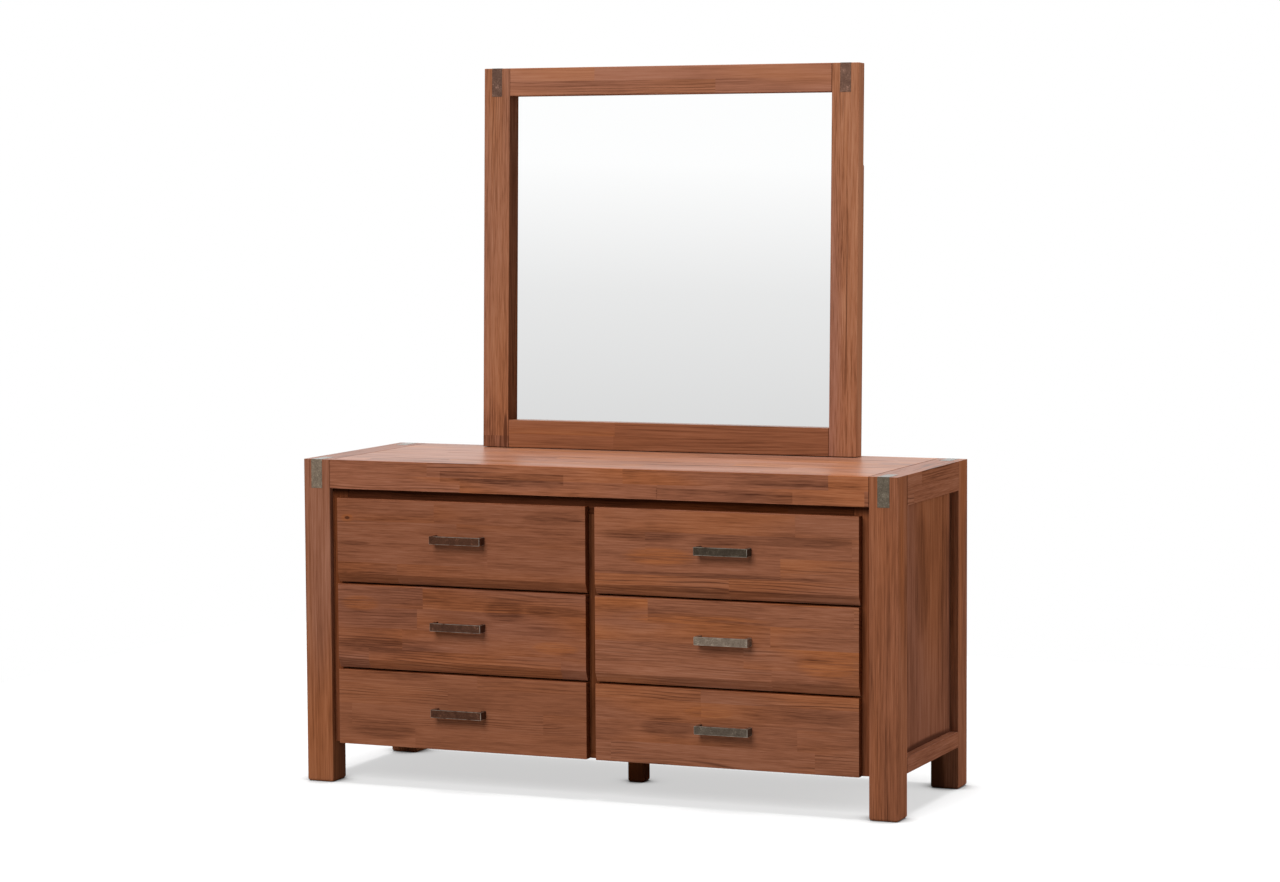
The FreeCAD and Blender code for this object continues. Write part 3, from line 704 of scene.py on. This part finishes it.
class DRESSER_OT_case(DresserOperator, bpy.types.Operator):
    """Finish the legs, beams, sides and the face frame"""

    bl_idname = "dresser.case"
    bl_label = "Case"

    rail_stave = 0.036                  # width of the staves of rails and beams, metres
    uprights = {
        "leg_front_left": {"shade": (0.90, 0.95, 1.01)},
        "leg_front_right": {"shade": (1.00, 1.00, 0.96)},
        "leg_rear_left": {"shade": 0.9},
        "leg_rear_right": {"shade": (0.93, 0.97, 0.98)},
        "centre_foot": {"shade": (0.70, 0.60, 0.50)},
        # The face frame's tints are painted shade of the recess behind the drawer fronts
        "face_mullion": {"shade": (0.46, 0.40, 0.32)},
        "face_stile_left": {"shade": (0.60, 0.52, 0.46)},
        "face_stile_right": {"shade": (0.75, 0.65, 0.55)},
    }
    side_panels = {
        "side_panel_left": {"shade": 0.8},
        "side_panel_right": {"shade": (0.81, 0.85, 0.94)},
    }
    front_rails = {
        "front_fascia": {"shade": (1.05, 1.08, 1.13)},
        # Painted shade: the face frame's rails are darker, the top one most, under the fascia
        "face_top_rail": {"shade": (0.27, 0.21, 0.17)},
        "face_bottom_rail": {"shade": (0.5, 0.4, 0.3)},
    }
    side_rails = {
        "end_beam_left": {"shade": 0.9},
        "end_beam_right": {"shade": 0.9},
        "side_rail_left": {"shade": 0.9},
        "side_rail_right": {"shade": (0.87, 0.90, 0.97)},
    }

    def execute(self, context):
        wood = context.scene.dresser_case_wood
        wide = {"patchwork": 0.0, "reach": 4.0, "coarse": 4.0}
        rail = {"stave": self.rail_stave, "joint": JOINT}
        finish_each(self.uprights, wood, GRAIN_UP, seed=11, contrast=1.1, reach=2.6, **ONE_STAVE)
        finish_each(self.side_panels, wood, GRAIN_UP_SIDE, seed=21, **wide, **ONE_STAVE)
        finish_each(self.front_rails, wood, GRAIN_ALONG_X, seed=25, **rail)
        finish_each(self.side_rails, wood, GRAIN_ALONG_Y, seed=31, heart=0.1, **rail)
        return {"FINISHED"}


class DRESSER_OT_top(DresserOperator, bpy.types.Operator):
    """Finish the top panel"""

    bl_idname = "dresser.top"
    bl_label = "Top"

    # Painted sheen: the stain is paler and greyer, standing in for the reflection of the white surround on
    # the top
    look = {"shade": (1.23, 1.54, 1.90), "contrast": 1.4, "coarse": 3.0, "reach": 3.0, "joint": TOP_JOINT}

    def execute(self, context):
        wood = context.scene.dresser_case_wood
        finish_boards(["top_panel"], wood, GRAIN_ALONG_X_FLAT, seed=41, **self.look)
        return {"FINISHED"}


class DRESSER_OT_drawer_fronts(DresserOperator, bpy.types.Operator):
    """Finish the six drawer fronts, each from its own staves"""

    bl_idname = "dresser.drawer_fronts"
    bl_label = "Drawer fronts"

    # Each front gets painted shade on its ends, edges and sloped foot, where the gaps are in shade
    common = {"stave": 0.0515, "figured": 0.6, "patchwork": 0.1, "painted_shade_rim": PAINTED_GAP_SHADE}
    fronts = {
        "drawer_left_top_front": {"shade": 0.87, "heart": 0.4},
        "drawer_left_middle_front": {"shade": (0.88, 0.90, 0.96), "heart": 0.6},
        "drawer_left_bottom_front": {"shade": (0.93, 0.94, 0.92), "heart": 0.15, "contrast": 0.70},
        "drawer_right_top_front": {"shade": (0.98, 1.02, 1.06), "heart": 0.5, "contrast": 0.80},
        "drawer_right_middle_front": {"shade": (0.99, 1.03, 1.06), "heart": 0.8, "contrast": 0.92},
        "drawer_right_bottom_front": {"shade": (0.96, 1.0, 1.03), "heart": 0.5, "contrast": 0.85},
    }

    def execute(self, context):
        wood = context.scene.dresser_case_wood
        finish_each(self.fronts, wood, GRAIN_ALONG_X, seed=51, **self.common)
        return {"FINISHED"}


class DRESSER_OT_inside(DresserOperator, bpy.types.Operator):
    """Finish the drawer boxes and the boards inside the case"""

    bl_idname = "dresser.inside"
    bl_label = "Inside"

    middle = ("runner_bearers", "centre_partition", "centre_bearer")

    def execute(self, context):
        wood = context.scene.dresser_inner_wood
        boxes = [drawer + "_box" for drawer in DRAWERS]
        finish_boards(boxes, wood, GRAIN_ALONG_Y, seed=71, figured=0.1)
        finish_boards(self.middle, wood, GRAIN_ALONG_Y, seed=81, figured=0.2)
        finish_boards(["rear_rails"], wood, GRAIN_ALONG_X, seed=85, figured=0.2)
        finish_node("back_board", fibreboard_material("case_back"))
        return {"FINISHED"}


class DRESSER_OT_hardware(DresserOperator, bpy.types.Operator):
    """Finish the runners, screws and bumpers"""

    bl_idname = "dresser.hardware"
    bl_label = "Hardware"

    def execute(self, context):
        zinc = zinc_material()
        for name in ("case_runners", "support_screws", *(drawer + "_runners" for drawer in DRAWERS)):
            finish_node(name, zinc)
        finish_node("drawer_bumpers", pad_material())
        return {"FINISHED"}


class DRESSER_OT_pulls(DresserOperator, bpy.types.Operator):
    """Finish the six pulls, browner at the left and greyer at the right"""

    bl_idname = "dresser.pulls"
    bl_label = "Pulls"

    tints = {
        "drawer_left_top_pull": (0.84, 0.40, 0.28),
        "drawer_left_middle_pull": (0.76, 0.38, 0.28),
        "drawer_left_bottom_pull": (0.70, 0.33, 0.23),
        "drawer_right_top_pull": (0.58, 0.50, 0.43),
        "drawer_right_middle_pull": (1.93, 1.72, 1.60),
        "drawer_right_bottom_pull": (0.92, 0.82, 0.76),
    }

    def execute(self, context):
        pewter = context.scene.dresser_pewter
        for name, tint in self.tints.items():
            metal = pewter_material(name, pewter, tint, tint, mottle=0.6, wear_and_highlight=0.6, box=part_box(name))
            finish_node(name, metal)
        return {"FINISHED"}


class DRESSER_OT_straps(DresserOperator, bpy.types.Operator):
    """Finish the corner straps of the case and of the mirror"""

    bl_idname = "dresser.straps"
    bl_label = "Corner straps"

    # Tint of the left and of the right ones
    tints = {
        "corner_straps": ((2.25, 2.00, 1.78), (1.45, 1.35, 1.22)),
        "mirror_straps": ((1.65, 1.05, 0.93), (1.95, 1.22, 1.06)),
    }

    def execute(self, context):
        pewter = context.scene.dresser_pewter
        for name, (left, right) in self.tints.items():
            finish_node(name, pewter_material(name, pewter, left, right))
        return {"FINISHED"}


class DRESSER_OT_mirror(DresserOperator, bpy.types.Operator):
    """Finish the mirror's frame, glass, back and supports"""

    bl_idname = "dresser.mirror"
    bl_label = "Mirror"

    uprights = {
        # The left stile gets painted shade on its side toward the glass
        "mirror_stile_left": {"shade": 0.93, "contrast": 1.25, "reveal": PAINTED_REVEAL_SHADE},
        "mirror_stile_right": {"shade": (0.95, 0.98, 1.08), "contrast": 1.4},
        "mirror_support_left": {"shade": 0.8, "contrast": 1.0},
        "mirror_support_right": {"shade": 0.8, "contrast": 1.0},
    }
    rails = {
        "mirror_top_rail": {"shade": (1.03, 1.05, 1.12)},
        "mirror_bottom_rail": {"shade": (0.84, 0.78, 0.69)},
    }

    def execute(self, context):
        wood = context.scene.dresser_mirror_wood
        finish_each(self.uprights, wood, GRAIN_UP, seed=91, reach=4.0, **ONE_STAVE)
        finish_each(self.rails, wood, GRAIN_ALONG_X, seed=93, contrast=0.75, reach=2.5, joint=JOINT)
        finish_node("mirror_back_board", fibreboard_material("mirror_back"))
        finish_node("mirror_glass", glass_material())
        return {"FINISHED"}


class DRESSER_OT_studio(DresserOperator, bpy.types.Operator):
    """Set up the paper floor, the white surround, the lamps and the camera"""

    bl_idname = "dresser.studio"
    bl_label = "Studio"

    # Lengths are in metres
    floor_half = 2.4
    contact = 0.07                      # reach of the painted contact shadow round each foot
    contact_samples = 8
    contact_fade = (0.35, 0.95)         # open sky from which the paper is pale, and full white
    sun_place = (0.0, 0.0, 4.0)
    sun_aim = (0.0, 0.0, 0.0)
    key_place = (-0.6, -5.4, 4.2)
    key_size = 3.0
    side_place = (5.0, 1.0, 1.8)
    side_size = 2.4
    lamp_aim = (0.0, 0.0, 0.7)
    sensor_mm = 36.0
    # Sine of the elevation and grey of the surround, as polished things show it
    surround = [
        (-0.45, 1.0), (-0.20, 0.25), (-0.035, 0.68), (0.018, 0.82), (0.055, 1.0), (0.20, 1.0), (0.60, 0.40),
    ]

    def execute(self, context):
        studio = context.scene.dresser_studio
        context.scene.view_settings.view_transform = "Standard"
        self.make_floor(context, studio)
        self.make_surround(context, studio)
        self.make_lamps(context, studio)
        self.make_camera(context, studio)
        return {"FINISHED"}

    def looked_at(self, shader):
        """1 where the camera, a reflection or a view through glass sees a surface, 0 for lighting."""
        camera = shader.node("ShaderNodeLightPath")
        others = [shader.beside(camera, name) for name in ("Is Glossy Ray", "Is Transmission Ray")]
        return shader.most([camera, *others])

    def make_floor(self, context, studio):
        mesh = bpy.data.meshes.new("paper_floor")
        form = bmesh.new()
        bmesh.ops.create_grid(form, x_segments=1, y_segments=1, size=self.floor_half)
        form.to_mesh(mesh)
        form.free()
        mesh.materials.append(self.paper_material(studio))
        floor = bpy.data.objects.new("paper_floor", mesh)
        context.scene.collection.objects.link(floor)

    def paper_material(self, studio):
        """Paper that looks white and keeps the shadows, with a painted contact shadow: a dark rim where
        something stands on it.
        """
        shader = new_material("paper")
        settings = {"samples": self.contact_samples}
        # Painted contact shadow: the white lift fades where the paper is hemmed in
        painted_shade_rim = shader.node("ShaderNodeAmbientOcclusion", settings, {"Distance": self.contact}, output="AO")
        return shader.finish(
            Base_Color=(studio.floor,) * 3,
            Specular_IOR_Level=0.0,
            Roughness=1.0,
            Emission_Color=self.looked_at(shader) * studio.floor_lift * painted_shade_rim.rise(*self.contact_fade),
            Emission_Strength=1.0,
        )

    def make_surround(self, context, studio):
        """White to the camera, grey by height to polished things, and an even light to the rest."""
        world = bpy.data.worlds.new("white_surround")
        context.scene.world = world
        shader = Shader(world, "Background")
        upward = shader.split(shader.node("ShaderNodeTexCoord"))["Z"]
        low, high = self.surround[0][0], self.surround[-1][0]
        inputs = {"Value": upward, "From Min": low, "From Max": high}
        height = shader.node("ShaderNodeMapRange", inputs=inputs)
        stops = [((place - low) / (high - low), (grey,) * 3) for place, grey in self.surround]
        fade = shader.ramp(height, stops)
        polished = shader.mix(self.looked_at(shader), (studio.ambient,) * 3, fade)
        camera = shader.node("ShaderNodeLightPath")
        shader.finish(Color=shader.mix(camera, polished, WHITE), Strength=1.0)

    def make_lamps(self, context, studio):
        sun = bpy.data.lights.new("overhead", "SUN")
        sun.energy = studio.overhead
        sun.angle = studio.overhead_angle
        self.hang(context, sun, self.sun_place, self.sun_aim)
        self.make_softbox(context, "key", self.key_place, self.key_size, studio.key)
        self.make_softbox(context, "side", self.side_place, self.side_size, studio.side)

    def make_softbox(self, context, name, place, size, watts):
        lamp = bpy.data.lights.new(name, "AREA")
        lamp.size = size
        lamp.energy = watts
        self.hang(context, lamp, place, self.lamp_aim)

    def hang(self, context, lamp, place, aim):
        """Put a lamp at a place, turned to its aim and left out of reflections."""
        holder = bpy.data.objects.new(lamp.name, lamp)
        holder.location = place
        holder.rotation_euler = (Vector(aim) - Vector(place)).to_track_quat("-Z", "Y").to_euler()
        holder.visible_glossy = False
        context.scene.collection.objects.link(holder)

    def make_camera(self, context, studio):
        camera = bpy.data.objects.new("camera", bpy.data.cameras.new("camera"))
        camera.data.sensor_width = self.sensor_mm
        camera.data.sensor_fit = "HORIZONTAL"
        camera.data.lens = studio.lens
        turn = Matrix.Rotation(studio.yaw, 4, "Z")
        tilt = Matrix.Rotation(math.pi / 2 + studio.pitch, 4, "X")
        roll = Matrix.Rotation(studio.roll, 4, "Z")
        camera.matrix_world = Matrix.Translation(studio.camera) @ turn @ tilt @ roll
        context.scene.collection.objects.link(camera)
        context.scene.camera = camera


class DRESSER_PT_sidebar(bpy.types.Panel):
    """Settings and steps of the dresser, in the 3D view's sidebar"""

    bl_label = "Dresser with mirror"
    bl_space_type = "VIEW_3D"
    bl_region_type = "UI"
    bl_category = "Dresser"

    def draw(self, context):
        for name in GROUPS:
            group = getattr(context.scene, name)
            box = self.layout.box()
            for key in group.__annotations__:
                box.prop(group, key)
        for operator in OPERATORS:
            self.layout.operator(operator.bl_idname)


GROUPS = {
    "dresser_case_wood": DRESSER_PG_case_wood,
    "dresser_mirror_wood": DRESSER_PG_mirror_wood,
    "dresser_inner_wood": DRESSER_PG_inner_wood,
    "dresser_pewter": DRESSER_PG_pewter,
    "dresser_studio": DRESSER_PG_studio,
}
OPERATORS = (
    DRESSER_OT_case,
    DRESSER_OT_top,
    DRESSER_OT_drawer_fronts,
    DRESSER_OT_inside,
    DRESSER_OT_hardware,
    DRESSER_OT_pulls,
    DRESSER_OT_straps,
    DRESSER_OT_mirror,
    DRESSER_OT_studio,
)
CLASSES = (*GROUPS.values(), *OPERATORS, DRESSER_PT_sidebar)


def register():
    for cls in CLASSES:
        bpy.utils.register_class(cls)
    for name, group in GROUPS.items():
        setattr(bpy.types.Scene, name, PointerProperty(type=group))


def unregister():
    for name in GROUPS:
        delattr(bpy.types.Scene, name)
    for cls in reversed(CLASSES):
        bpy.utils.unregister_class(cls)


def main():
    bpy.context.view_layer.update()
    register()
    bpy.ops.dresser.case()
    bpy.ops.dresser.top()
    bpy.ops.dresser.drawer_fronts()
    bpy.ops.dresser.inside()
    bpy.ops.dresser.hardware()
    bpy.ops.dresser.pulls()
    bpy.ops.dresser.straps()
    bpy.ops.dresser.mirror()
    bpy.ops.dresser.studio()


if __name__ == "__main__":
    main()
